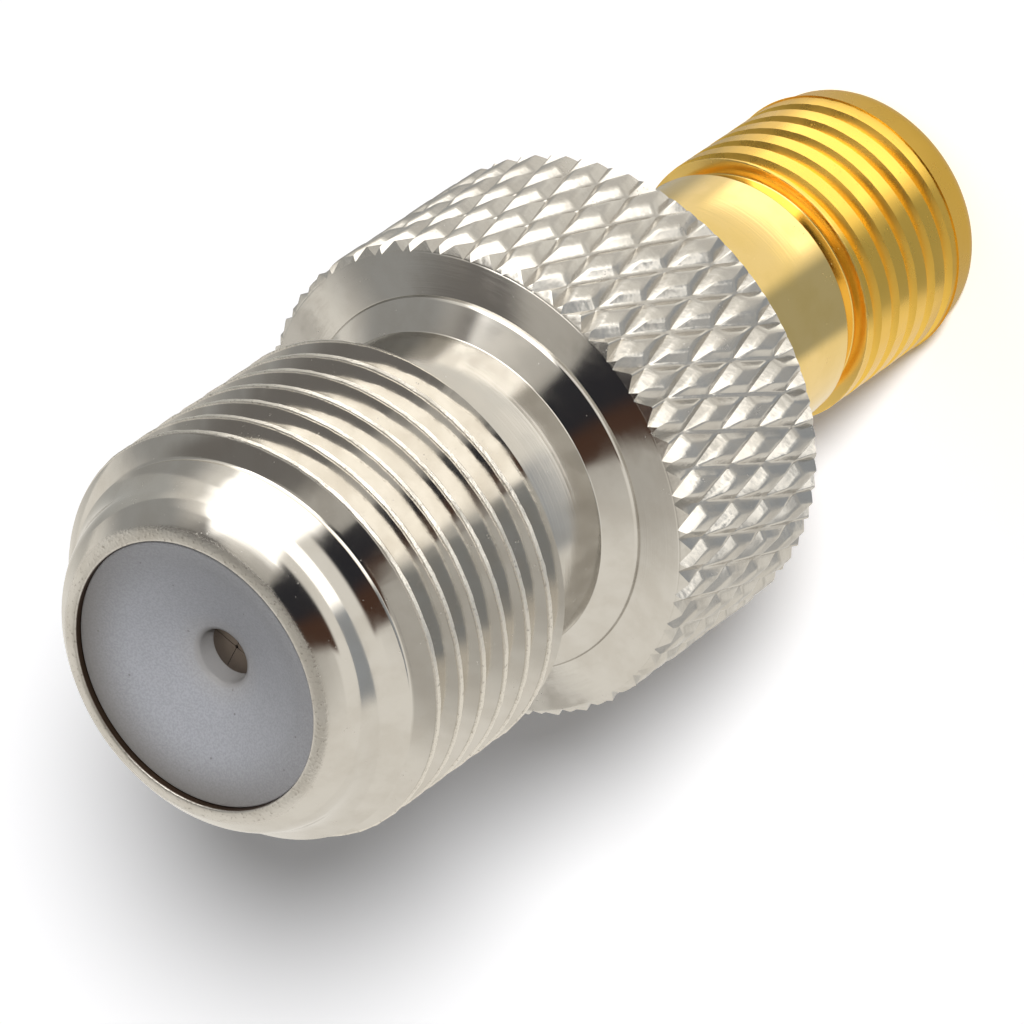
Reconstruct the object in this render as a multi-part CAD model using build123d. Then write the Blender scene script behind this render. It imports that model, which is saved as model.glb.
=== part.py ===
from build123d import *
import os
from math import ceil, cos, pi, radians, sin, tan

# Coaxial adapter with an F jack at the top and an SMA jack at the bottom.
# All pieces share one upright axis. Z is 0 on the SMA end face, where the adapter stands.
# Sizes are in millimetres.

# Threaded end of the SMA jack, gold-plated brass
sma_thread_diameter = 6.26
sma_thread_length = 4.7
sma_lead_diameter = 6.1
sma_lead_tip_diameter = 5.96
sma_lead_length = 1.1
sma_lead_chamfer = 0.44
sma_undercut_diameter = 5.32
sma_undercut_width = 0.5
sma_neck_diameter = 6.0
sma_neck_length = 4.85
sma_neck_chamfer = 0.1
sma_spigot_length = 3.45
sma_mouth_diameter = 4.6
sma_mouth_depth = 1.93
sma_bore_diameter = 4.1

# Centre contact of the SMA jack, gold-plated spring bronze
sma_contact_diameter = 1.27
sma_socket_diameter = 0.94
sma_socket_depth = 3.0
sma_contact_edge = 0.08
sma_slot_width = 0.2
sma_slot_depth = 2.4
sma_contact_head_diameter = 2.0
sma_contact_head_height = 0.5

# Knurled collar, one piece with the F jack's nickel-plated brass body
collar_diameter = 11.06
collar_length = 5.1
collar_chamfer = 0.19
knurl_teeth = 42
knurl_right_angle = 22.5
knurl_left_angle = 16.3
knurl_run_in = 0.457
knurl_turn = -107.06
knurl_depth = 0.27
knurl_land_share = 0.16

# Shoulder and neck between the collar and the thread
shoulder_ring_diameter = 8.7
shoulder_ring_height = 0.09
shoulder_cone_height = 0.45
neck_diameter = 7.47
neck_length = 2.36

# Thread and nose of the F jack
f_thread_diameter = 9.4
f_thread_length = 5.05
f_thread_end_chamfer = 0.3
lead_height = 0.78
pilot_height = 0.62
pilot_large_diameter = 7.96
pilot_small_diameter = 7.66
rim_height = 0.5
rim_diameter = 6.6
mouth_diameter = 6.1

# Seats inside the F body, measured down from its rim or up from its collar
front_seat_depth = 6.0
bead_seat_depth = 10.0
bead_bore_diameter = 4.8
body_bore_diameter = 4.4

# White plastic insulator in the F mouth
dish_recess = 0.15
dish_depth = 0.82
pin_hole_diameter = 1.2
pin_hole_depth = 0.53
contact_room = 0.15

# Spring contact of the F jack, tin-plated bronze
f_contact_diameter = 1.9
f_contact_wall = 0.22
f_contact_mouth_diameter = 0.3
f_contact_lip = 0.5
f_contact_nose_height = 0.6
f_contact_nose_diameter = 1.5
f_contact_base_height = 0.8
f_contact_slot_width = 0.1
f_contact_slot_depth = 2.8
tail_diameter = 0.8
tail_point = 0.2
tail_hole_depth = 2.6
tail_end_gap = 0.2

# Heights of the seams between the pieces
collar_bottom = sma_thread_length + sma_undercut_width + sma_neck_length
collar_top = collar_bottom + collar_length
shoulder_ring_top = collar_top + shoulder_ring_height
neck_bottom = shoulder_ring_top + shoulder_cone_height
thread_bottom = neck_bottom + neck_length
thread_top = thread_bottom + f_thread_length
pilot_bottom = thread_top + lead_height
pilot_top = pilot_bottom + pilot_height
mouth_height = pilot_top + rim_height
spigot_top = collar_bottom + sma_spigot_length
front_seat = mouth_height - front_seat_depth
bead_seat = mouth_height - bead_seat_depth
contact_tip = mouth_height - dish_recess - dish_depth - pin_hole_depth


def turned(points):
    """Solid turned from an outline of (radius, height) corners on one side of the axis."""
    outline = Polyline([(radius, 0, height) for radius, height in points], close=True)
    return revolve(make_face(outline), Axis.Z, 360)


def rod(diameter, bottom, top):
    """Upright round bar on the axis."""
    return Pos(0, 0, bottom) * extrude(Circle(diameter / 2), top - bottom)


def cross_slots(width, length, bottom, top):
    """Two upright saw cuts that cross on the axis and leave four fingers."""
    cut = Pos(0, 0, bottom) * extrude(Rectangle(width, length), top - bottom)
    return cut + Rot(0, 0, 90) * cut


def knurl_row_height():
    """Height between two rows of diamonds, where the two sets of helical grooves cross."""
    tooth_arc = pi * collar_diameter / knurl_teeth
    return tooth_arc / (tan(radians(knurl_right_angle)) + tan(radians(knurl_left_angle)))


def knurl_corner(row, half_step, radius):
    """Point of the knurl's lattice, counted in rows up the axis and half teeth round it."""
    leans = tan(radians(knurl_right_angle)) - tan(radians(knurl_left_angle))
    lean = leans * knurl_row_height() / collar_diameter
    angle = radians(knurl_turn) + half_step * pi / knurl_teeth + row * lean
    height = collar_bottom - knurl_run_in + row * knurl_row_height()
    return Vector(radius * cos(angle), radius * sin(angle), height)


def knurl_diamond(row, half_step, has_lower_half, has_upper_half):
    """Faces of one raised diamond: four sloping flanks round a narrow land."""
    root = collar_diameter / 2 - knurl_depth
    peak_radius = root + knurl_depth / (1 - knurl_land_share)
    peak = knurl_corner(row, half_step, peak_radius)
    left = knurl_corner(row, half_step - 1, root)
    right = knurl_corner(row, half_step + 1, root)
    halves = []
    if has_lower_half:
        halves.append((left, knurl_corner(row - 1, half_step, root), right))
    if has_upper_half:
        halves.append((right, knurl_corner(row + 1, half_step, root), left))
    faces = []
    for corners in halves:
        lands = [peak + (corner - peak) * knurl_land_share for corner in corners]
        faces.append(polygon([corners[0], corners[1], lands[1], lands[0]]))
        faces.append(polygon([corners[1], corners[2], lands[2], lands[1]]))
        faces.append(polygon(lands))
    return faces, [peak + (corner - peak) * knurl_land_share for corner in (left, right)]


def polygon(corners):
    """Flat face between straight edges."""
    return Face(Wire.make_polygon(corners, close=True))


def knurled_bar():
    """Bar with the crossed grooves all round it, a little longer than the collar."""
    rows = ceil((knurl_run_in + collar_length) / knurl_row_height())
    root = collar_diameter / 2 - knurl_depth
    faces = []
    for row in range(rows + 1):
        edge = []
        for tooth in range(knurl_teeth):
            half_step = 2 * tooth + row % 2
            flanks, land_ends = knurl_diamond(row, half_step, row > 0, row < rows)
            faces += flanks
            edge += [knurl_corner(row, half_step - 1, root)] + land_ends
        if row in (0, rows):
            faces.append(polygon(edge))
    return Solid(Shell(faces))


def knurled_collar():
    """Collar with chamfered rims, where the grooves run out."""
    chamfer_radius = collar_diameter / 2 - collar_chamfer
    blank = turned([
        (0, collar_bottom),
        (chamfer_radius, collar_bottom),
        (collar_diameter / 2, collar_bottom + collar_chamfer),
        (collar_diameter / 2, collar_top - collar_chamfer),
        (chamfer_radius, collar_top),
        (0, collar_top),
    ])
    return blank & knurled_bar()


def f_body():
    """Nose, thread, neck and knurled collar turned in one piece, with its stepped bore."""
    barrel = turned([
        (0, collar_top),
        (shoulder_ring_diameter / 2, collar_top),
        (shoulder_ring_diameter / 2, shoulder_ring_top),
        (neck_diameter / 2, neck_bottom),
        (neck_diameter / 2, thread_bottom),
        (f_thread_diameter / 2 - f_thread_end_chamfer, thread_bottom),
        (f_thread_diameter / 2, thread_bottom + f_thread_end_chamfer),
        (f_thread_diameter / 2, thread_top),
        (pilot_large_diameter / 2, pilot_bottom),
        (pilot_small_diameter / 2, pilot_top),
        (rim_diameter / 2, mouth_height),
        (0, mouth_height),
    ])
    body = knurled_collar() + barrel
    body -= rod(mouth_diameter, front_seat, mouth_height)
    body -= rod(bead_bore_diameter, bead_seat, front_seat)
    body -= rod(body_bore_diameter, spigot_top, bead_seat)
    body -= rod(sma_neck_diameter, collar_bottom, spigot_top)
    return body


def f_front_insulator():
    """Moulded plug with a dished face and a small hole for the cable's centre wire."""
    face = mouth_height - dish_recess
    insulator = turned([
        (0, front_seat),
        (mouth_diameter / 2, front_seat),
        (mouth_diameter / 2, face),
        (pin_hole_diameter / 2, face - dish_depth),
        (0, face - dish_depth),
    ])
    insulator -= rod(pin_hole_diameter, contact_tip, face)
    return insulator - rod(f_contact_diameter + 2 * contact_room, front_seat, contact_tip)


def f_contact():
    """Spring tube with four fingers that close at its mouth, on a solid base with a tail."""
    base_top = front_seat + f_contact_base_height
    nose_bottom = contact_tip - f_contact_nose_height
    tail_bottom = spigot_top - tail_hole_depth + tail_end_gap
    inner = f_contact_diameter / 2 - f_contact_wall
    contact = turned([
        (0, tail_bottom),
        (tail_diameter / 2 - tail_point, tail_bottom),
        (tail_diameter / 2, tail_bottom + tail_point),
        (tail_diameter / 2, front_seat),
        (f_contact_diameter / 2, front_seat),
        (f_contact_diameter / 2, nose_bottom),
        (f_contact_nose_diameter / 2, contact_tip),
        (f_contact_mouth_diameter / 2, contact_tip),
        (f_contact_mouth_diameter / 2, contact_tip - f_contact_lip),
        (inner, nose_bottom - f_contact_lip),
        (inner, base_top),
        (0, base_top),
    ])
    slots = cross_slots(
        f_contact_slot_width, f_contact_diameter, contact_tip - f_contact_slot_depth, contact_tip
    )
    return contact - slots


def support_bead():
    """Plastic bead that carries the contact's tail in the middle of the body."""
    bead = rod(bead_bore_diameter, bead_seat, front_seat)
    return bead - rod(tail_diameter, bead_seat, front_seat)


def sma_body():
    """Gold-plated jack: tapered lead, thread, undercut, neck and spigot in one piece."""
    thread_start = sma_lead_length + (sma_thread_diameter - sma_lead_diameter) / 2
    neck_start = sma_thread_length + sma_undercut_width
    body = turned([
        (0, 0),
        (sma_lead_tip_diameter / 2 - sma_lead_chamfer, 0),
        (sma_lead_tip_diameter / 2, sma_lead_chamfer),
        (sma_lead_diameter / 2, sma_lead_length),
        (sma_thread_diameter / 2, thread_start),
        (sma_thread_diameter / 2, sma_thread_length),
        (sma_undercut_diameter / 2, sma_thread_length),
        (sma_undercut_diameter / 2, neck_start),
        (sma_neck_diameter / 2 - sma_neck_chamfer, neck_start),
        (sma_neck_diameter / 2, neck_start + sma_neck_chamfer),
        (sma_neck_diameter / 2, spigot_top),
        (0, spigot_top),
    ])
    body -= rod(sma_mouth_diameter, 0, sma_mouth_depth)
    return body - rod(sma_bore_diameter, sma_mouth_depth, spigot_top)


def sma_insulator():
    """Fluoropolymer sleeve round the SMA contact, flush with the step in the mouth."""
    sleeve = rod(sma_bore_diameter, sma_mouth_depth, spigot_top)
    return sleeve - rod(sma_contact_diameter, sma_mouth_depth, spigot_top)


def sma_contact():
    """Slotted socket with a head on the sleeve and a hole for the other contact's tail."""
    head_top = spigot_top + sma_contact_head_height
    contact = turned([
        (0, sma_mouth_depth),
        (sma_contact_diameter / 2 - sma_contact_edge, sma_mouth_depth),
        (sma_contact_diameter / 2, sma_mouth_depth + sma_contact_edge),
        (sma_contact_diameter / 2, spigot_top),
        (sma_contact_head_diameter / 2, spigot_top),
        (sma_contact_head_diameter / 2, head_top),
        (0, head_top),
    ])
    contact -= rod(sma_socket_diameter, sma_mouth_depth, sma_mouth_depth + sma_socket_depth)
    contact -= rod(tail_diameter, spigot_top - tail_hole_depth, head_top)
    slot_top = sma_mouth_depth + sma_slot_depth
    return contact - cross_slots(sma_slot_width, sma_contact_diameter, sma_mouth_depth, slot_top)


pieces = {
    "f_body": f_body(),
    "f_front_insulator": f_front_insulator(),
    "f_contact": f_contact(),
    "support_bead": support_bead(),
    "sma_body": sma_body(),
    "sma_insulator": sma_insulator(),
    "sma_contact": sma_contact(),
}

os.makedirs("parts", exist_ok=True)
for name, piece in pieces.items():
    export_step(piece, os.path.join("parts", name + ".step"))
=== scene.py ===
from math import cos, pi, radians, sin, tan

import bpy
from mathutils import Matrix


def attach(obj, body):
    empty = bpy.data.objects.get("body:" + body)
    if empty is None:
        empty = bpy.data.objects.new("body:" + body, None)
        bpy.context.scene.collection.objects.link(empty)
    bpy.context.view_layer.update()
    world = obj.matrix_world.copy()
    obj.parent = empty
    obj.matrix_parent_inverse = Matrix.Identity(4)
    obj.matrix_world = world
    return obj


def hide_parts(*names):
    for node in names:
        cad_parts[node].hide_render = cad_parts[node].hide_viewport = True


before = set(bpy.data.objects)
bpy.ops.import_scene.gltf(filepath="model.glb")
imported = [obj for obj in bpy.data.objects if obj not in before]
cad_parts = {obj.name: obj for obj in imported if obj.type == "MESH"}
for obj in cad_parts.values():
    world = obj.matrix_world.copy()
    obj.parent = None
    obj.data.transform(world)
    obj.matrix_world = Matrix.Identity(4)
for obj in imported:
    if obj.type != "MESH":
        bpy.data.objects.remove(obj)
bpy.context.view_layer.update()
mm = 0.001

# Camera. A long lens looks down on the F jack's mouth from 45 degrees. It is rolled, so that
# the upright adapter lies across the picture from the lower left to the upper right.
camera_place = (-0.990, -150.771, 164.882)
camera_tilt = 45.106
camera_roll = -125.103
lens = bpy.data.cameras.new("camera")
lens.sensor_width = 36
lens.lens = 351.5625
lens.clip_start = 20 * mm
lens.clip_end = 5
camera = bpy.data.objects.new("camera", lens)
bpy.context.scene.collection.objects.link(camera)
camera.matrix_world = (
    Matrix.Translation([distance * mm for distance in camera_place])
    @ Matrix.Rotation(radians(camera_tilt), 4, "X")
    @ Matrix.Rotation(radians(camera_roll), 4, "Z")
)
bpy.context.scene.camera = camera

# Barrel of the F jack. Brass bar turned in one piece, from the collar's lower face to the
# rim of the mouth, with a stepped bore. The collar and the thread are still plain here.
collar_bottom = 10.05
collar_top = 15.15
collar_radius = 5.55
collar_edge = 5.34
collar_chamfer = 0.21
shoulder_ring = 4.35
neck_radius = 3.735
thread_bottom = 18.05
thread_top = 23.10
thread_blank = 4.76
mouth_height = 25.0
mouth_bore = 3.05
bead_bore = 2.4
passage_radius = 2.2
spigot_radius = 3.0
spigot_seat = 13.5
bead_seat = 15.0
front_seat = 19.0
merge_gap = 1e-7


def select_where(piece, test):
    """Selects the vertices whose (radius, height) in millimetres pass the test."""
    bpy.ops.mesh.select_mode(type="VERT")
    bpy.ops.mesh.select_all(action="DESELECT")
    bpy.ops.object.mode_set(mode="OBJECT")
    for vertex in piece.data.vertices:
        x, y, z = vertex.co / mm
        vertex.select = test((x * x + y * y) ** 0.5, z)
    bpy.ops.object.mode_set(mode="EDIT")


def near(radius, height, corner):
    """Whether a point is at a corner of an outline."""
    return abs(radius - corner[0]) < 0.002 and abs(height - corner[1]) < 0.002


def wire(name, corners, closed):
    """Line through (radius, height, rounding) corners in the plane of the axis."""
    bpy.ops.object.select_all(action="DESELECT")
    bpy.ops.mesh.primitive_plane_add(size=mm, location=(0, 0, 0))
    piece = bpy.context.object
    piece.name = name
    bpy.ops.object.mode_set(mode="EDIT")
    bpy.ops.mesh.select_mode(type="VERT")
    bpy.ops.mesh.merge(type="CENTER")
    bpy.ops.transform.translate(value=(corners[0][0] * mm, 0, corners[0][1] * mm))
    for corner, after in zip(corners, corners[1:]):
        step = ((after[0] - corner[0]) * mm, 0, (after[1] - corner[1]) * mm)
        bpy.ops.mesh.extrude_region_move(TRANSFORM_OT_translate={"value": step})
    if closed:
        ends = (corners[0], corners[-1])
        select_where(piece, lambda r, z: any(near(r, z, corner) for corner in ends))
        bpy.ops.mesh.edge_face_add()
    for rounding in sorted({corner[2] for corner in corners if corner[2]}):
        sharp = [corner for corner in corners if corner[2] == rounding]
        select_where(piece, lambda r, z: any(near(r, z, corner) for corner in sharp))
        segments = 3 if rounding < 0.1 else 8
        bpy.ops.mesh.bevel(offset=rounding * mm, segments=segments, affect="VERTICES")
    bpy.ops.mesh.select_all(action="SELECT")
    return piece


def turned(name, corners, steps=256, closed=True):
    """Solid turned from an outline. An open outline starts and ends on the axis."""
    piece = wire(name, corners, closed)
    bpy.ops.mesh.spin(steps=steps, angle=2 * pi, center=(0, 0, 0), axis=(0, 0, 1))
    bpy.ops.mesh.select_all(action="SELECT")
    bpy.ops.mesh.remove_doubles(threshold=merge_gap)
    bpy.ops.mesh.normals_make_consistent(inside=False)
    bpy.ops.object.mode_set(mode="OBJECT")
    return piece


def cut(piece, cutter, operation):
    """Applies a boolean between a piece and a cutter, and removes the cutter."""
    bpy.ops.object.select_all(action="DESELECT")
    bpy.context.view_layer.objects.active = piece
    piece.select_set(True)
    boolean = piece.modifiers.new("cut", "BOOLEAN")
    boolean.operation = operation
    boolean.solver = "EXACT"
    boolean.object = cutter
    bpy.ops.object.modifier_apply(modifier=boolean.name)
    bpy.data.objects.remove(cutter)


barrel = turned("barrel", [
    (passage_radius, spigot_seat, 0),
    (spigot_radius, spigot_seat, 0),
    (spigot_radius, collar_bottom, 0.06),
    (collar_edge, collar_bottom, 0.03),
    (collar_radius, collar_bottom + collar_chamfer, 0.03),
    (collar_radius, collar_top - collar_chamfer, 0.03),
    (collar_edge, collar_top, 0.03),
    (shoulder_ring, collar_top, 0),
    (shoulder_ring, collar_top + 0.09, 0.07),
    (neck_radius, 15.69, 0.02),
    (neck_radius, thread_bottom, 0),
    (4.4, thread_bottom, 0),
    (thread_blank, thread_bottom + 0.36, 0),
    (thread_blank, thread_top - 0.06, 0),
    (3.98, 23.88, 0.28),
    (3.83, 24.5, 0.22),
    (3.30, mouth_height, 0.18),
    (mouth_bore, mouth_height, 0.05),
    (mouth_bore, front_seat, 0),
    (bead_bore, front_seat, 0),
    (bead_bore, bead_seat, 0),
    (passage_radius, bead_seat, 0),
])

# Knurl on the collar. Two crossed sets of grooves are rolled into the brass bar, so rows of
# small blunt pyramids stand between them. Their edges are rounded and none is quite even.
knurl_teeth = 42
knurl_root = 5.335
knurl_top = 5.53
right_lean = tan(radians(22.5))
left_lean = tan(radians(16.3))
first_row_height = 9.593
first_row_angle = -107.06
knurl_rows = 6
land_share = 0.46
ridge_start = 0.08
ridge_rounding = 0.08
roughness_of_rolling = 0.012

half_tooth = pi / knurl_teeth
knurl_row = 2 * half_tooth * knurl_top / (right_lean + left_lean)
row_lean = (right_lean - left_lean) / 2 * knurl_row / knurl_top


def turn_by(angle):
    """Turns what is selected about the axis, counterclockwise seen from above."""
    bpy.ops.transform.rotate(value=-angle, orient_axis="Z", center_override=(0, 0, 0))


bpy.ops.object.select_all(action="DESELECT")
bpy.ops.mesh.primitive_circle_add(
    vertices=4, radius=mm, fill_type="NOTHING", location=(knurl_root * mm, 0, 0),
    rotation=(0, pi / 2, 0),
)
knurl = bpy.context.object
knurl.name = "knurl"
bpy.ops.object.transform_apply(location=True, rotation=True, scale=True)
bpy.ops.object.mode_set(mode="EDIT")
bpy.ops.mesh.select_all(action="SELECT")
bpy.ops.transform.resize(
    value=(1, knurl_root * sin(half_tooth), knurl_row), center_override=(0, 0, 0)
)
select_where(knurl, lambda r, z: abs(z) < 0.1)
bpy.ops.transform.translate(value=(-knurl_root * (1 - cos(half_tooth)) * mm, 0, 0))
select_where(knurl, lambda r, z: z > 0.1)
turn_by(row_lean)
select_where(knurl, lambda r, z: z < -0.1)
turn_by(-row_lean)
bpy.ops.mesh.select_all(action="SELECT")
bpy.ops.mesh.extrude_region_move(
    TRANSFORM_OT_translate={"value": ((knurl_top - knurl_root) * mm, 0, 0)}
)
bpy.ops.transform.resize(
    value=(1, land_share, land_share), center_override=(knurl_top * mm, 0, 0)
)
bpy.ops.mesh.edge_face_add()
bpy.ops.mesh.select_all(action="SELECT")
turn_by(radians(first_row_angle))
bpy.ops.transform.translate(value=(0, 0, first_row_height * mm))
for row in range(1, knurl_rows):
    bpy.ops.mesh.duplicate_move(
        TRANSFORM_OT_translate={"value": (0, 0, knurl_row * mm)}
    )
    turn_by(half_tooth + row_lean)
bpy.ops.mesh.select_all(action="SELECT")
bpy.ops.mesh.spin(
    steps=knurl_teeth - 1, angle=2 * pi * (knurl_teeth - 1) / knurl_teeth,
    center=(0, 0, 0), axis=(0, 0, 1), dupli=True,
)
bpy.ops.mesh.select_all(action="SELECT")
bpy.ops.mesh.remove_doubles(threshold=merge_gap)
bpy.ops.transform.vertex_random(offset=roughness_of_rolling * mm, seed=3)


def saw_off(height, keep_below):
    """Cuts the piece in hand flat at a height in millimetres, and closes the cut."""
    bpy.ops.mesh.select_all(action="SELECT")
    bpy.ops.mesh.bisect(
        plane_co=(0, 0, height * mm), plane_no=(0, 0, 1), use_fill=True,
        clear_outer=keep_below, clear_inner=not keep_below, threshold=1e-9,
    )


saw_off(collar_bottom - 0.2, False)
saw_off(collar_top + 0.15, True)
bpy.ops.mesh.extrude_region_move(TRANSFORM_OT_translate={"value": (0, 0, 11 * mm)})
bpy.ops.mesh.select_all(action="SELECT")
bpy.ops.mesh.normals_make_consistent(inside=False)
bpy.ops.mesh.select_mode(type="EDGE")
bpy.ops.mesh.select_all(action="DESELECT")
bpy.ops.object.mode_set(mode="OBJECT")
corners = knurl.data.vertices
for edge in knurl.data.edges:
    low, high = sorted((corners[index].co for index in edge.vertices), key=lambda end: end.z)
    on_side = collar_bottom - 0.19 < low.z / mm and high.z / mm < collar_top + 0.14
    ridge = max(low.xy.length, high.xy.length) > (knurl_root + ridge_start) * mm
    right_hand = low.x * high.y - low.y * high.x > 0
    edge.select = on_side and (ridge or right_hand)
bpy.ops.object.mode_set(mode="EDIT")
bpy.ops.mesh.bevel(offset=ridge_rounding * mm, segments=3, affect="EDGES")
bpy.ops.object.mode_set(mode="OBJECT")
cut(barrel, knurl, "INTERSECT")

# Thread of the F jack, 3/8-32. It is cut with a pointed tool, so its crests are narrow and
# a little ragged, and its grooves are wide and smooth.
thread_steps = 160
thread_flank = 29
thread_crest = 4.70


def threaded_rod(name, root, crest, land, groove, burr, pitch, crest_height, lowest, turns):
    """Right-hand threaded rod whose crest passes crest_height at the X axis. Land is the
    crest's width, groove the rounding at the root, and burr how ragged the crest is."""
    flank = (crest - root) * tan(radians(thread_flank))
    start = crest_height - pitch / 2
    start += pitch * round((lowest - start) / pitch)
    middle = start + pitch / 2
    rod = wire(name, [
        (root, start, 0),
        (root, middle - land / 2 - flank, groove),
        (crest, middle - land / 2, 0),
        (crest, middle + land / 2, 0),
        (root, middle + land / 2 + flank, groove),
        (root, start + pitch, 0),
    ], False)
    bpy.ops.object.mode_set(mode="OBJECT")
    screw = rod.modifiers.new("screw", "SCREW")
    screw.steps = thread_steps
    screw.render_steps = thread_steps
    screw.iterations = turns
    screw.screw_offset = pitch * mm
    screw.use_merge_vertices = False
    bpy.ops.object.modifier_apply(modifier=screw.name)
    bpy.ops.object.mode_set(mode="EDIT")
    bpy.ops.mesh.select_all(action="SELECT")
    bpy.ops.mesh.remove_doubles(threshold=merge_gap)
    select_where(rod, lambda r, z: r > crest - 0.02)
    bpy.ops.transform.vertex_random(offset=burr * mm, seed=5)
    return rod


def flare(height):
    """Widens the sawn end of a rod into a collar, past which it cuts nothing away."""
    bpy.ops.mesh.extrude_region()
    bpy.ops.transform.resize(value=(1.6, 1.6, 1), center_override=(0, 0, 0))
    bpy.ops.mesh.extrude_region_move(TRANSFORM_OT_translate={"value": (0, 0, height * mm)})


def smooth(piece, angle):
    """Smooths the shading across edges that are blunter than the angle."""
    bpy.ops.object.select_all(action="DESELECT")
    piece.select_set(True)
    bpy.context.view_layer.objects.active = piece
    bpy.ops.object.shade_smooth_by_angle(angle=radians(angle))


f_thread = threaded_rod(
    "f_thread", root=4.21, crest=thread_crest, land=0.10, groove=0.08, burr=0.013,
    pitch=0.79375, crest_height=23.153, lowest=16.0, turns=13,
)
saw_off(mouth_height + 0.4, True)
saw_off(thread_bottom - 0.6, False)
flare(-9)
bpy.ops.mesh.select_all(action="SELECT")
bpy.ops.mesh.normals_make_consistent(inside=False)
bpy.ops.object.mode_set(mode="OBJECT")
cut(barrel, f_thread, "INTERSECT")
smooth(barrel, 32)

# Nickel plating on the barrel. It is bright where the tool left the brass smooth, streaky on the
# collar's face, scuffed on the knurl, and matt and nicked along the rim and the crests. The
# crests are also painted paler as a painted highlight, and the bore wall at the mouth is painted
# dark brown as a painted shade.


def place(tree, kind, inputs, **settings):
    """Adds a node, sets its options, and sets or links its inputs."""
    node = tree.nodes.new(kind)
    for name, value in settings.items():
        setattr(node, name, value)
    for key, value in inputs.items():
        if isinstance(value, bpy.types.NodeSocket):
            tree.links.new(value, node.inputs[key])
        else:
            node.inputs[key].default_value = value
    return node


def count(tree, operation, first, second=0.0, third=0.0):
    """Output of a math node."""
    inputs = {0: first, 1: second, 2: third}
    return place(tree, "ShaderNodeMath", inputs, operation=operation).outputs[0]


def ramp(tree, value, low, high, bottom=0.0, top=1.0):
    """Output that goes smoothly from bottom to top as the value goes from low to high."""
    inputs = {"Value": value, "From Min": low, "From Max": high, "To Min": bottom, "To Max": top}
    node = place(tree, "ShaderNodeMapRange", inputs, interpolation_type="SMOOTHSTEP")
    return node.outputs["Result"]


def window(tree, value, low, high, soft):
    """1 between two limits and 0 outside them, with soft edges."""
    rising = ramp(tree, value, low - soft, low + soft)
    falling = ramp(tree, value, high + soft, high - soft)
    return count(tree, "MULTIPLY", rising, falling)


def tint(tree, under, share, colour):
    """Mixes a colour into what lies under it."""
    inputs = {0: share, 6: under, 7: colour}
    return place(tree, "ShaderNodeMix", inputs, data_type="RGBA").outputs[2]


def grain(tree, point, scale, detail=2.0):
    """Soft random pattern with so many spots per millimetre."""
    inputs = {"Vector": point, "Scale": scale, "Detail": detail}
    return place(tree, "ShaderNodeTexNoise", inputs).outputs["Fac"]


def gauge(tree):
    """Point in millimetres, the direction away from the axis, the radius and the height."""
    metres = place(tree, "ShaderNodeTexCoord", {}).outputs["Object"]
    point = place(
        tree, "ShaderNodeVectorMath", {0: metres, "Scale": 1 / mm}, operation="SCALE"
    ).outputs[0]
    flat = place(
        tree, "ShaderNodeVectorMath", {0: point, 1: (1, 1, 0)}, operation="MULTIPLY"
    ).outputs[0]
    outward = place(tree, "ShaderNodeVectorMath", {0: flat}, operation="NORMALIZE").outputs[0]
    radius = place(tree, "ShaderNodeVectorMath", {0: flat}, operation="LENGTH").outputs["Value"]
    height = place(tree, "ShaderNodeSeparateXYZ", {0: point}).outputs[2]
    return point, outward, radius, height


def effect(name, sliders, outputs):
    """Empty node group with number sliders and outputs, and its two end nodes."""
    group = bpy.data.node_groups.new(name, "ShaderNodeTree")
    for label in sliders:
        group.interface.new_socket(label, in_out="INPUT", socket_type="NodeSocketFloat")
    for label in outputs:
        group.interface.new_socket(label, in_out="OUTPUT", socket_type="NodeSocketFloat")
    return group, group.nodes.new("NodeGroupInput"), group.nodes.new("NodeGroupOutput")


tool_marks, start, end = effect("tool_marks", ["Rings per mm", "Depth"], ["Height"])
radius, height = gauge(tool_marks)[2:]
along = count(tool_marks, "MULTIPLY_ADD", radius, 0.62, height)
rings = place(
    tool_marks, "ShaderNodeTexNoise",
    {"W": count(tool_marks, "MULTIPLY", along, start.outputs[0]), "Scale": 1.0, "Detail": 3.0},
    noise_dimensions="1D",
).outputs["Fac"]
mark_height = count(tool_marks, "MULTIPLY", rings, start.outputs[1])
tool_marks.links.new(mark_height, end.inputs["Height"])

plating_flaws, start, end = effect("plating_flaws", ["Patches", "Pits"], ["Patches", "Pits"])
point = gauge(plating_flaws)[0]
clouds = grain(plating_flaws, point, start.outputs[0], 4.0)
plating_flaws.links.new(ramp(plating_flaws, clouds, 0.35, 0.7), end.inputs["Patches"])
dots = place(plating_flaws, "ShaderNodeTexVoronoi", {"Vector": point, "Scale": start.outputs[1]})
pit_size = ramp(plating_flaws, grain(plating_flaws, point, 1.7), 0.5, 0.75, top=0.2)
pits = count(plating_flaws, "LESS_THAN", dots.outputs["Distance"], pit_size)
plating_flaws.links.new(pits, end.inputs["Pits"])


def plating(name, bright, dull, rings_per_mm, mark_depth):
    """Metal material with marks and flaws: its tree, shader, colour, roughness and height."""
    finish = bpy.data.materials.new(name)
    finish.use_nodes = True
    tree = finish.node_tree
    shader = tree.nodes["Principled BSDF"]
    shader.inputs["Metallic"].default_value = 1.0
    marks = place(
        tree, "ShaderNodeGroup", {"Rings per mm": rings_per_mm, "Depth": mark_depth},
        node_tree=tool_marks,
    )
    flaws = place(
        tree, "ShaderNodeGroup", {"Patches": 1.3, "Pits": 9.0}, node_tree=plating_flaws
    )
    colour = tint(tree, bright, flaws.outputs["Patches"], dull)
    rough = ramp(tree, flaws.outputs["Patches"], 0.0, 1.0, bottom=0.10, top=0.16)
    rough = count(tree, "MULTIPLY_ADD", flaws.outputs["Pits"], 0.2, rough)
    relief = count(tree, "MULTIPLY_ADD", flaws.outputs["Pits"], -0.002, marks.outputs["Height"])
    return finish, tree, shader, colour, rough, relief


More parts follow.
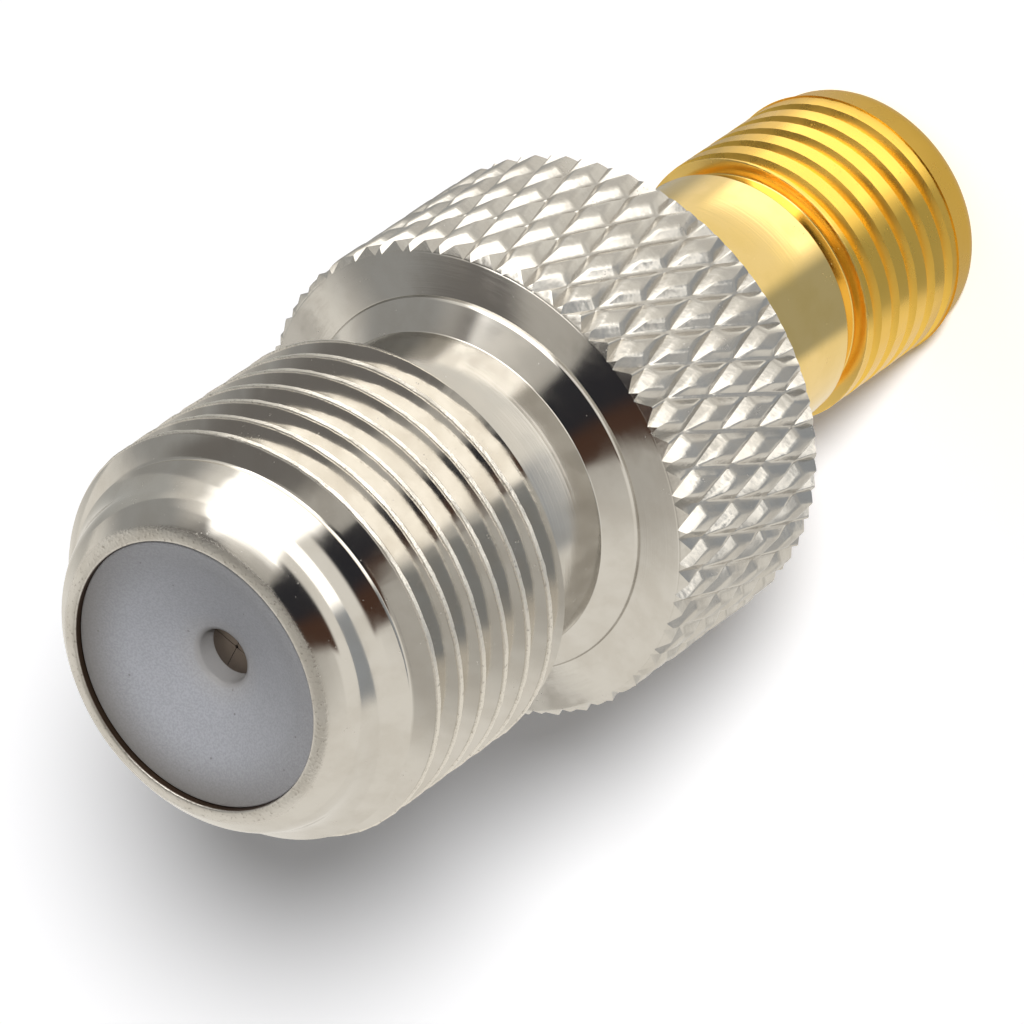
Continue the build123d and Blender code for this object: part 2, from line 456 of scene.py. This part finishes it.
def finish_off(tree, shader, colour, rough, relief, normal=None):
    """Links colour, roughness and relief in millimetres to the shader."""
    tree.links.new(colour, shader.inputs["Base Color"])
    tree.links.new(rough, shader.inputs["Roughness"])
    bump = place(tree, "ShaderNodeBump", {"Height": relief, "Distance": mm})
    if normal:
        tree.links.new(normal, bump.inputs["Normal"])
    tree.links.new(bump.outputs["Normal"], shader.inputs["Normal"])


nickel, tree, shader, colour, rough, relief = plating(
    "nickel_plate", (0.69, 0.665, 0.62, 1), (0.64, 0.61, 0.56, 1), 14, 0.0006
)
point, outward, radius, height = gauge(tree)
on_knurl = count(
    tree, "MULTIPLY", count(tree, "GREATER_THAN", radius, knurl_root - 0.05),
    count(tree, "LESS_THAN", height, collar_top - 0.02),
)
on_crest = count(
    tree, "MULTIPLY", ramp(tree, radius, thread_crest - 0.05, thread_crest - 0.02),
    window(tree, height, thread_bottom - 0.15, thread_top + 0.2, 0.1),
)
on_rim = ramp(tree, height, mouth_height - 0.12, mouth_height - 0.05)
on_rim = count(tree, "MULTIPLY", on_rim, ramp(tree, radius, 3.5, 3.35))
worn = count(tree, "MAXIMUM", on_crest, on_rim)
rough = count(tree, "MULTIPLY_ADD", on_knurl, 0.11, rough)
rough = count(tree, "MULTIPLY_ADD", worn, 0.2, rough)
scuffs = count(tree, "MULTIPLY", grain(tree, point, 3.0, 2.0), 0.012)
relief = count(tree, "MULTIPLY_ADD", on_knurl, scuffs, relief)
nicks = grain(tree, point, 14.0, 3.0)
relief = count(tree, "MULTIPLY_ADD", worn, count(tree, "MULTIPLY", nicks, 0.012), relief)
# The crests are painted paler, a painted highlight along the ridges of the thread.
colour = tint(tree, colour, on_crest, (0.84, 0.80, 0.73, 1))
dirt = count(tree, "MULTIPLY", ramp(tree, nicks, 0.56, 0.74, top=0.5), worn)
colour = tint(tree, colour, dirt, (0.20, 0.17, 0.14, 1))
# The wall of the bore just inside the rim is painted dark brown, a painted shade in the gap
# beside the insulator.
in_bore = count(
    tree, "MULTIPLY", ramp(tree, radius, mouth_bore + 0.07, mouth_bore + 0.02),
    ramp(tree, height, mouth_height - 0.01, mouth_height - 0.05),
)
colour = tint(tree, colour, in_bore, (0.10, 0.065, 0.045, 1))
rough = count(tree, "MULTIPLY_ADD", in_bore, 0.3, rough)
on_face = count(
    tree, "MULTIPLY", window(tree, radius, shoulder_ring, collar_edge, 0.02),
    window(tree, height, collar_top - 0.05, collar_top + 0.05, 0.01),
)
streaks = place(
    tree, "ShaderNodeTexNoise", {"W": count(tree, "MULTIPLY", radius, 30.0), "Detail": 2.0},
    noise_dimensions="1D",
).outputs["Fac"]
slant = ramp(tree, streaks, 0.3, 0.7, bottom=0.62, top=0.8)
slant = count(tree, "MULTIPLY", slant, on_face)
facing = place(tree, "ShaderNodeNewGeometry", {}).outputs["Normal"]
slanted = place(
    tree, "ShaderNodeVectorMath", {0: outward, "Scale": slant}, operation="SCALE"
).outputs[0]
slanted = place(
    tree, "ShaderNodeVectorMath", {0: slanted, 1: facing}, operation="ADD"
).outputs[0]
slanted = place(tree, "ShaderNodeVectorMath", {0: slanted}, operation="NORMALIZE").outputs[0]
finish_off(tree, shader, colour, rough, relief, slanted)


def fit(piece, node, finish):
    """Gives a piece its finish, and puts it in the place of its solid."""
    piece.data.materials.clear()
    piece.data.materials.append(finish)
    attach(piece, "root")
    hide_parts(node)


fit(barrel, "f_body", nickel)

# Front insulator. A plug moulded in white plastic and pushed into the mouth, its colour painted
# grey as a painted shade. Its face is dished towards a small hole for the cable's centre wire,
# and its edge, the hole and a ring round the hole are painted darker, as painted shade.
contact_tip = 23.5
wire_hole = 0.6
contact_clearance = 1.1
insulator = turned("front_insulator", [
    (mouth_bore, front_seat, 0),
    (mouth_bore, 24.85, 0.06),
    (2.62, 24.76, 0.15),
    (0.72, 24.05, 0.1),
    (0.61, 23.97, 0.06),
    (wire_hole, contact_tip, 0),
    (contact_clearance, contact_tip, 0),
    (contact_clearance, front_seat, 0),
])
smooth(insulator, 32)


def plastic(name, pale, deep, roughness):
    """Matt moulded plastic with faint mottling and a few specks: its nodes and sockets."""
    finish = bpy.data.materials.new(name)
    finish.use_nodes = True
    tree = finish.node_tree
    shader = tree.nodes["Principled BSDF"]
    shader.inputs["Roughness"].default_value = roughness
    shader.inputs["Subsurface Weight"].default_value = 0.35
    shader.inputs["Subsurface Radius"].default_value = (1.0, 1.0, 1.0)
    shader.inputs["Subsurface Scale"].default_value = 0.4 * mm
    point, outward, radius, height = gauge(tree)
    mottle = grain(tree, point, 22.0, 3.0)
    colour = tint(tree, pale, ramp(tree, mottle, 0.35, 0.65), deep)
    specks = place(tree, "ShaderNodeTexVoronoi", {"Vector": point, "Scale": 2.2})
    speck = count(tree, "LESS_THAN", specks.outputs["Distance"], 0.06)
    colour = tint(tree, colour, count(tree, "MULTIPLY", speck, 0.5), (0.12, 0.11, 0.1, 1))
    bump = place(tree, "ShaderNodeBump", {"Height": mottle, "Distance": 0.006 * mm})
    tree.links.new(bump.outputs["Normal"], shader.inputs["Normal"])
    return finish, tree, shader, colour, outward, radius, height


def compass(tree, direction):
    """Angle round the axis in degrees: 0 towards the camera, 90 towards +X."""
    axes = place(tree, "ShaderNodeSeparateXYZ", {0: direction})
    ahead = count(tree, "MULTIPLY", axes.outputs[1], -1.0)
    return count(tree, "MULTIPLY", count(tree, "ARCTAN2", axes.outputs[0], ahead), 180 / pi)


# The plastic is white, but it is written grey here, a painted shade over the whole plug and the
# bead.
white, tree, shader, colour, outward, radius, height = plastic(
    "white_plastic", (0.41, 0.417, 0.446, 1), (0.345, 0.351, 0.378, 1), 0.5
)
# The wall of the wire hole is painted darker, a painted shade in the hole.
in_hole = count(
    tree, "MULTIPLY", ramp(tree, radius, 0.8, 0.62), ramp(tree, height, 24.1, 24.0)
)
colour = tint(tree, colour, in_hole, (0.30, 0.30, 0.31, 1))
# A ring round the hole is painted a brownish darker colour, a painted shade round the hole.
hole_ring_shade = count(tree, "MULTIPLY", ramp(tree, radius, 1.2, 0.62), 0.2)
colour = tint(tree, colour, hole_ring_shade, (0.34, 0.30, 0.24, 1))
# The edge of the face is painted darker, a painted shade from the rim, strongest on the side
# away from the camera.
from_front = count(tree, "ABSOLUTE", compass(tree, outward))
far_side = ramp(tree, from_front, 60, 130, bottom=0.25, top=0.75)
painted_rim_shade = count(tree, "MULTIPLY", ramp(tree, radius, 1.9, mouth_bore), far_side)
colour = tint(tree, colour, painted_rim_shade, (0.17, 0.155, 0.135, 1))
tree.links.new(colour, shader.inputs["Base Color"])
fit(insulator, "f_front_insulator", white)

# Spring contact of the F jack. Tin-plated bronze tube, sawn crosswise into four fingers that
# close at the tip, on a base with a tail that goes down through a plastic bead.
tail_radius = 0.4
contact_radius = 0.95
contact_bore = 0.73
contact_floor = 19.8
closed_mouth = 0.03
contact = turned("spring_contact", [
    (0, 11.1, 0),
    (0.2, 11.1, 0),
    (tail_radius, 11.3, 0),
    (tail_radius, front_seat, 0),
    (contact_radius, front_seat, 0.05),
    (contact_radius, 22.9, 0.1),
    (0.75, contact_tip, 0.08),
    (closed_mouth, contact_tip, 0.02),
    (closed_mouth, 23.0, 0),
    (contact_bore, 22.4, 0),
    (contact_bore, contact_floor, 0),
    (0, contact_floor, 0),
], 96, False)


def saw_cross(piece, width, length, bottom, top, turn):
    """Saws two crossed slots into a piece."""
    for angle in (turn, turn + 90):
        bpy.ops.object.select_all(action="DESELECT")
        bpy.ops.mesh.primitive_cube_add(
            size=mm, location=(0, 0, (bottom + top) / 2 * mm),
            rotation=(0, 0, radians(angle)), scale=(width, length, top - bottom),
        )
        cut(piece, bpy.context.object, "DIFFERENCE")


saw_cross(contact, width=0.012, length=2.2, bottom=20.7, top=23.6, turn=20)
smooth(contact, 32)

tin, tree, shader, colour, rough, relief = plating(
    "tin_plate", (0.27, 0.225, 0.19, 1), (0.23, 0.19, 0.16, 1), 8, 0.001
)
finish_off(tree, shader, colour, count(tree, "ADD", rough, 0.45), relief)
fit(contact, "f_contact", tin)

# Support bead. A plain plastic disc between the seats of the barrel, bored for the tail of
# the spring contact.
bead = turned("middle_bead", [
    (tail_radius, bead_seat, 0),
    (bead_bore, bead_seat, 0.05),
    (bead_bore, front_seat, 0.05),
    (tail_radius, front_seat, 0),
], 128)
smooth(bead, 32)
fit(bead, "support_bead", white)

# SMA jack. Brass turned with a plain rounded lead, a 1/4-36 thread, an undercut, a neck and a
# spigot that is pressed into the collar. All of it is gold plated.
lead_top = 1.1
sma_thread_blank = 3.16
sma_thread_top = 4.7
undercut_radius = 2.76
undercut_top = 5.2
sma_mouth_bore = 2.3
sleeve_bore = 2.05
sleeve_face = 1.93
sma = turned("sma_jack", [
    (sleeve_bore, spigot_seat, 0),
    (spigot_radius, spigot_seat, 0.05),
    (spigot_radius, undercut_top, 0.1),
    (undercut_radius, undercut_top, 0.04),
    (undercut_radius, sma_thread_top, 0.04),
    (sma_thread_blank, sma_thread_top, 0.06),
    (sma_thread_blank, lead_top, 0),
    (3.03, lead_top - 0.02, 0.04),
    (3.0, 0.0, 0.48),
    (sma_mouth_bore, 0.0, 0.06),
    (sma_mouth_bore, sleeve_face, 0.04),
    (sleeve_bore, sleeve_face, 0),
])
sma_thread = threaded_rod(
    "sma_thread", root=2.90, crest=3.13, land=0.38, groove=0.03, burr=0.005, pitch=0.70556,
    crest_height=4.2, lowest=-1.0, turns=10,
)
saw_off(lead_top, False)
flare(-4)
saw_off((sma_thread_top + undercut_top) / 2, True)
flare(9)
bpy.ops.mesh.select_all(action="SELECT")
bpy.ops.mesh.normals_make_consistent(inside=False)
bpy.ops.object.mode_set(mode="OBJECT")
cut(sma, sma_thread, "INTERSECT")
smooth(sma, 32)

gold, tree, shader, colour, rough, relief = plating(
    "gold_plate", (0.98, 0.73, 0.30, 1), (0.94, 0.69, 0.26, 1), 14, 0.001
)
height = gauge(tree)[3]
# The thread is painted a deeper, more orange gold, a painted reflection of light bouncing
# between its flanks.
threaded = ramp(tree, height, sma_thread_top + 0.1, sma_thread_top - 0.1)
colour = tint(tree, colour, threaded, (0.98, 0.63, 0.12, 1))
finish_off(tree, shader, colour, count(tree, "MULTIPLY_ADD", threaded, 0.16, rough), relief)
fit(sma, "sma_body", gold)

# Sleeve of the SMA jack. It is turned from fluoropolymer, fills the bore behind the mouth
# and holds the socket in the middle.
socket_radius = 0.635
sleeve = turned("sma_sleeve", [
    (socket_radius, sleeve_face, 0.03),
    (sleeve_bore, sleeve_face, 0.04),
    (sleeve_bore, spigot_seat, 0),
    (socket_radius, spigot_seat, 0),
], 128)
smooth(sleeve, 32)

milky, tree, shader, colour = plastic(
    "fluoropolymer", (0.80, 0.80, 0.78, 1), (0.76, 0.76, 0.73, 1), 0.45
)[:4]
tree.links.new(colour, shader.inputs["Base Color"])
fit(sleeve, "sma_insulator", milky)

# Socket of the SMA jack. It is sprung bronze with four fingers, gold plated like the jack,
# and its far end is bored for the tail of the spring contact.
pin_bore = 0.47
pin_bore_end = 4.93
socket = turned("sma_socket", [
    (0, pin_bore_end, 0),
    (pin_bore, pin_bore_end, 0),
    (pin_bore, sleeve_face, 0.04),
    (socket_radius, sleeve_face, 0.06),
    (socket_radius, spigot_seat, 0),
    (1.0, spigot_seat, 0),
    (1.0, spigot_seat + 0.5, 0),
    (tail_radius, spigot_seat + 0.5, 0),
    (tail_radius, 10.9, 0),
    (0, 10.9, 0),
], 96, False)
saw_cross(socket, width=0.2, length=1.4, bottom=1.8, top=4.33, turn=45)
smooth(socket, 32)
fit(socket, "sma_contact", gold)

# Table. A plain white sheet, which shows real shadows where it is seen directly. What the
# plating mirrors of it is a painted reflection: painted light brightest beside the softbox,
# painted shade grey in front and beside the screen, and dimmer close in and in a painted shadow
# of the collar.
bpy.ops.object.select_all(action="DESELECT")
bpy.ops.mesh.primitive_circle_add(vertices=64, radius=400 * mm, fill_type="NGON")
table = bpy.context.object
table.name = "table"

sheet = bpy.data.materials.new("table_sheet")
sheet.use_nodes = True
tree = sheet.node_tree
tree.nodes.remove(tree.nodes["Principled BSDF"])
outward, radius = gauge(tree)[1:3]
turn = compass(tree, outward)
# The sheet's glow for glossy rays is a painted reflection: grey painted shade beside the screen.
by_screen = window(tree, turn, 98, 150, 12)
painted_reflection = tint(tree, (0.86, 0.83, 0.77, 1), by_screen, (0.46, 0.46, 0.44, 1))
# Rings of painted shade close in and further out, and a grey painted shade in front.
painted_shade_ring = ramp(tree, radius, 12.5, 11.5)
painted_shade_ring = count(tree, "MAXIMUM", painted_shade_ring, window(tree, radius, 18, 23, 0.7))
painted_shade_ring = count(tree, "MAXIMUM", painted_shade_ring, ramp(tree, radius, 35, 42))
front = tint(tree, (0.55, 0.55, 0.54, 1), painted_shade_ring, (0.36, 0.38, 0.40, 1))
painted_reflection = tint(tree, painted_reflection, window(tree, turn, -66, -9, 6), front)
# Painted light far out beside the softbox, with a painted strip of it in front.
painted_light_far = count(tree, "MULTIPLY", window(tree, turn, -13, 80, 6), ramp(tree, radius, 25, 27))
strip = count(tree, "MULTIPLY", window(tree, turn, -40, 0, 5), window(tree, radius, 26, 33, 1))
painted_light_far = count(tree, "MAXIMUM", painted_light_far, strip)
painted_reflection = tint(tree, painted_reflection, painted_light_far, (2.1, 2.05, 1.95, 1))
# Painted light close in beside the softbox.
painted_light_near = count(tree, "MULTIPLY", window(tree, turn, 0, 76, 7), ramp(tree, radius, 8.5, 7.5))
painted_reflection = tint(tree, painted_reflection, painted_light_near, (1.7, 1.65, 1.5, 1))
# Painted shade right at the foot of the jack.
close_in = ramp(tree, radius, 4.6, 3.6)
painted_reflection = tint(tree, painted_reflection, close_in, (0.55, 0.52, 0.46, 1))
# A painted shadow of the collar on the sheet.
shade = count(tree, "MULTIPLY", window(tree, radius, 13, 16.5, 1.5), 0.5)
painted_reflection = tint(tree, painted_reflection, shade, (0.34, 0.34, 0.33, 1))
ray = place(tree, "ShaderNodeLightPath", {})
seen_directly = ray.outputs["Is Camera Ray"]
paper = tint(tree, (0.9, 0.9, 0.9, 1), seen_directly, (1.34, 1.34, 1.36, 1))
seen = place(tree, "ShaderNodeBsdfDiffuse", {"Color": paper})
glow = place(tree, "ShaderNodeEmission", {"Color": painted_reflection, "Strength": 1.0})
both = place(
    tree, "ShaderNodeMixShader",
    {0: ray.outputs["Is Glossy Ray"], 1: seen.outputs[0], 2: glow.outputs[0]},
)
tree.links.new(both.outputs[0], tree.nodes["Material Output"].inputs["Surface"])
table.data.materials.append(sheet)

# Studio. Pale walls all round with a grey ceiling, a softbox on one side with a grey screen
# and a dark shutter beside it, and the dark camera in front. The key lamp stands just above
# the camera, and a soft light at the side fills the shadows of what isn't metal.
room = bpy.data.worlds.new("studio")
bpy.context.scene.world = room
room.use_nodes = True
tree = room.node_tree
towards = place(tree, "ShaderNodeTexCoord", {}).outputs["Generated"]
turn = compass(tree, towards)
up = place(tree, "ShaderNodeSeparateXYZ", {0: towards}).outputs[2]
rise = count(tree, "MULTIPLY", count(tree, "ARCSINE", up), 180 / pi)
wall = tint(tree, (0.90, 0.87, 0.81, 1), ramp(tree, rise, 30, 54), (0.52, 0.50, 0.46, 1))
screen = count(tree, "MULTIPLY", window(tree, turn, 90, 134, 10), ramp(tree, rise, 90, 70))
wall = tint(tree, wall, screen, (0.36, 0.36, 0.35, 1))
shutter = count(tree, "MULTIPLY", window(tree, turn, 66, 120, 8), window(tree, rise, 32, 75, 6))
wall = tint(tree, wall, shutter, (0.19, 0.18, 0.17, 1))
slanted_rise = count(tree, "MULTIPLY_ADD", turn, 0.15, rise)
softbox = window(tree, slanted_rise, -20, 49, 3)
softbox = count(tree, "MULTIPLY", window(tree, turn, 28, 76, 4), softbox)
wall = tint(tree, wall, softbox, (2.8, 2.75, 2.65, 1))
dark_camera = window(tree, rise, 24, 84, 4)
dark_camera = count(tree, "MULTIPLY", window(tree, turn, -36, 24, 3), dark_camera)
body = tint(tree, (0.03, 0.03, 0.035, 1), ramp(tree, turn, -6, -20), (0.08, 0.042, 0.028, 1))
wall = tint(tree, wall, dark_camera, body)
ray = place(tree, "ShaderNodeLightPath", {})
side_light = window(tree, rise, 10, 60, 8)
side_light = count(tree, "MULTIPLY", window(tree, turn, 60, 140, 15), side_light)
dull_side = tint(tree, (0.10, 0.10, 0.10, 1), side_light, (0.6, 0.59, 0.57, 1))
wall = tint(tree, dull_side, ray.outputs["Is Glossy Ray"], wall)
wall = tint(tree, wall, ray.outputs["Is Camera Ray"], (1, 1, 1, 1))
tree.links.new(wall, tree.nodes["Background"].inputs["Color"])

key = bpy.data.lights.new("key_lamp", "SUN")
key.energy = 2.9
key.angle = radians(9)
key_lamp = bpy.data.objects.new("key_lamp", key)
bpy.context.scene.collection.objects.link(key_lamp)
key_lamp.visible_glossy = False
key_lamp.matrix_world = (
    camera.matrix_world.to_3x3().to_4x4() @ Matrix.Rotation(radians(-7), 4, "X")
    @ Matrix.Rotation(radians(1), 4, "Y")
)

bpy.context.scene.view_settings.view_transform = "Standard"
